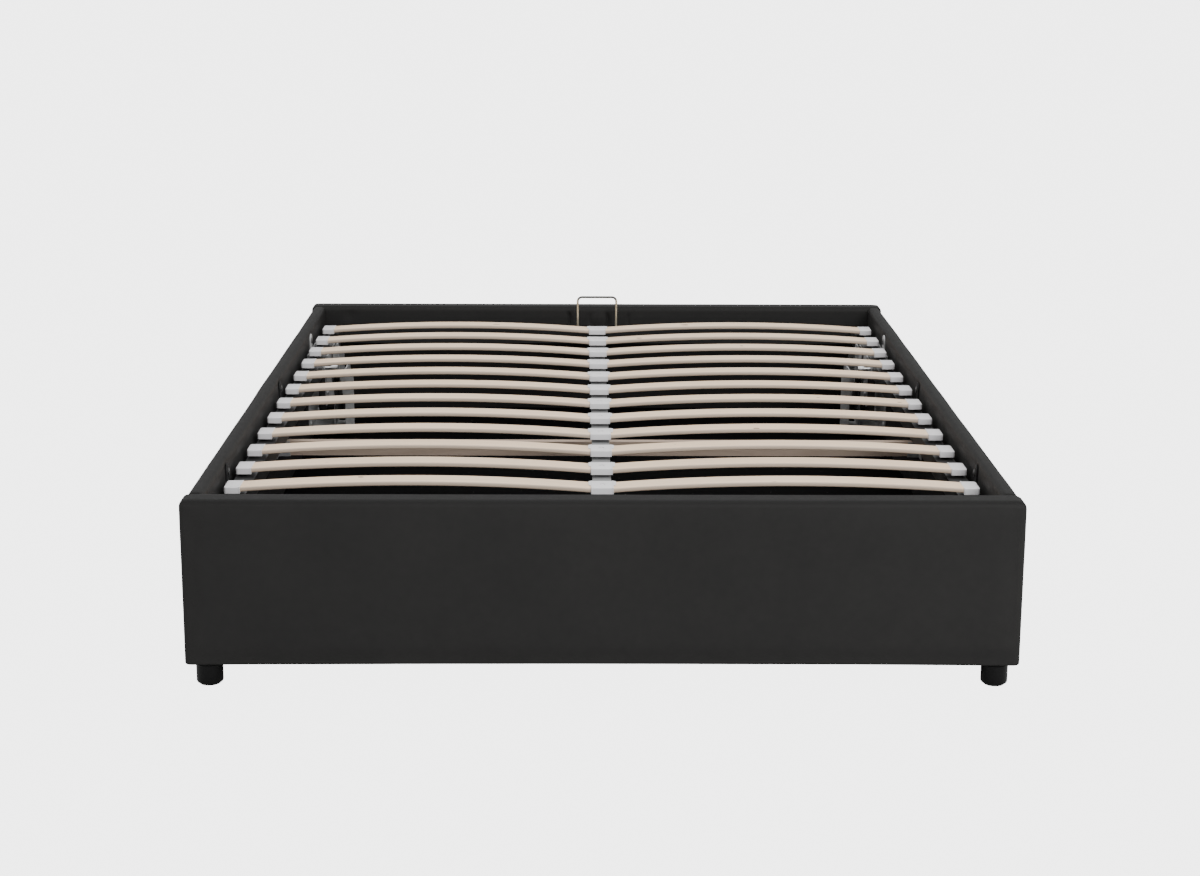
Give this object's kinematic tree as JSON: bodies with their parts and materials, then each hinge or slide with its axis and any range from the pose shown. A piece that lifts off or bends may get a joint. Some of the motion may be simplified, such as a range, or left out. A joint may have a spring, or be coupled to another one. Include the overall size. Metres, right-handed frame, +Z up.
{
  "type": "storage bed base",
  "caption": "Upholstered ottoman bed base for a 1.5 m mattress, with a bowed-slat platform that lifts at the foot end on gas struts over a storage floor.",
  "frame": {"origin": "floor level at the middle of the bed", "axes": "+Z up, +Y along the bed towards the head end, +X across the bed"},
  "size_m": [1.6, 2.15, 0.412],
  "materials": {
    "faux_leather": "matt satin faux leather, almost smooth",
    "raw_board": "raw particle board, hidden under the covers",
    "slat_wood": "pale bent plywood, light sanding",
    "cross_rail_wood": "raw planed softwood",
    "batten_wood": "raw sawn softwood",
    "floor_laminate": "thin black laminate on fibreboard",
    "leg_plastic": "black gloss moulded plastic",
    "black_steel": "black powder coat",
    "grey_steel": "mid-grey powder coat",
    "cap_plastic": "white moulded plastic",
    "yellow_zinc": "yellow zinc plate",
    "black_plastic": "black moulded plastic",
    "rubber_pad": "soft black rubber",
    "webbing": "black woven webbing",
    "bush_plastic": "dark nylon",
    "strut_black": "black painted tube, satin",
    "bright_steel": "bright zinc",
    "zinc_steel": "dull zinc plate"
  },
  "bodies": {
    "bed_box": {"foot_board": "raw_board", "foot_cover": "faux_leather", "head_board": "raw_board", "head_cover": "faux_leather", "left_rail_board": "raw_board", "left_rail_cover": "faux_leather", "right_rail_board": "raw_board", "right_rail_cover": "faux_leather", "corner_brackets": "zinc_steel", "frame_bolts": "bright_steel", "mid_cross_rail": "cross_rail_wood", "cross_rail_hangers": "zinc_steel", "floor_battens": "batten_wood", "floor_centre_batten": "batten_wood", "floor_boards": "floor_laminate", "leg_foot_left": "leg_plastic", "leg_foot_right": "leg_plastic", "leg_head_left": "leg_plastic", "leg_head_right": "leg_plastic", "centre_legs": "leg_plastic", "frame_rests": "black_steel", "rest_pads": "rubber_pad", "left_base_bracket": "zinc_steel", "right_base_bracket": "zinc_steel", "left_pivot_pin": "bright_steel", "right_pivot_pin": "bright_steel", "bracket_bolts": "bright_steel"},
    "platform": {"left_side_tube": "black_steel", "right_side_tube": "black_steel", "head_tube": "black_steel", "foot_tube": "black_steel", "centre_rail": "grey_steel", "tube_plugs": "black_plastic", "slat_row_01": "slat_wood", "slat_row_02": "slat_wood", "slat_row_03": "slat_wood", "slat_row_04": "slat_wood", "slat_row_05": "slat_wood", "slat_row_06": "slat_wood", "slat_row_07": "slat_wood", "slat_row_08": "slat_wood", "slat_row_09": "slat_wood", "slat_row_10": "slat_wood", "slat_row_11": "slat_wood", "slat_row_12": "slat_wood", "left_end_caps": "cap_plastic", "right_end_caps": "cap_plastic", "centre_caps": "cap_plastic", "mattress_stop": "yellow_zinc", "left_lift_arm": "zinc_steel", "right_lift_arm": "zinc_steel", "pivot_bushes": "bush_plastic", "arm_bolts": "bright_steel", "pull_strap": "webbing"},
    "left_strut_cylinder": {"left_gas_cylinder": "strut_black"},
    "left_strut_rod": {"left_gas_rod": "bright_steel"},
    "right_strut_cylinder": {"right_gas_cylinder": "strut_black"},
    "right_strut_rod": {"right_gas_rod": "bright_steel"}
  },
  "joints": [
    {"name": "platform_lift", "type": "hinge", "parent": "bed_box", "child": "platform", "pos_m": [0, 0.755, 0.302], "axis": [-1, 0, 0], "range_deg": [0, 38]},
    {"name": "left_strut_swing", "type": "hinge", "parent": "bed_box", "child": "left_strut_cylinder", "pos_m": [-0.682, 0.679, 0.137], "axis": [-1, 0, 0], "range_deg": [0, 25.5]},
    {"name": "left_strut_stroke", "type": "slide", "parent": "left_strut_cylinder", "child": "left_strut_rod", "axis": [0, -0.7092, 0.705], "range_m": [0, 0.1035]},
    {"name": "right_strut_swing", "type": "hinge", "parent": "bed_box", "child": "right_strut_cylinder", "pos_m": [0.682, 0.679, 0.137], "axis": [-1, 0, 0], "range_deg": [0, 25.5]},
    {"name": "right_strut_stroke", "type": "slide", "parent": "right_strut_cylinder", "child": "right_strut_rod", "axis": [0, -0.7092, 0.705], "range_m": [0, 0.1035]}
  ],
  "couplings": [
    {"joint": "left_strut_swing", "follows": "platform_lift", "ratio": 0.6674},
    {"joint": "left_strut_stroke", "follows": "platform_lift", "m_per_rad": 0.1552},
    {"joint": "right_strut_swing", "follows": "platform_lift", "ratio": 0.6674},
    {"joint": "right_strut_stroke", "follows": "platform_lift", "m_per_rad": 0.1552}
  ]
}
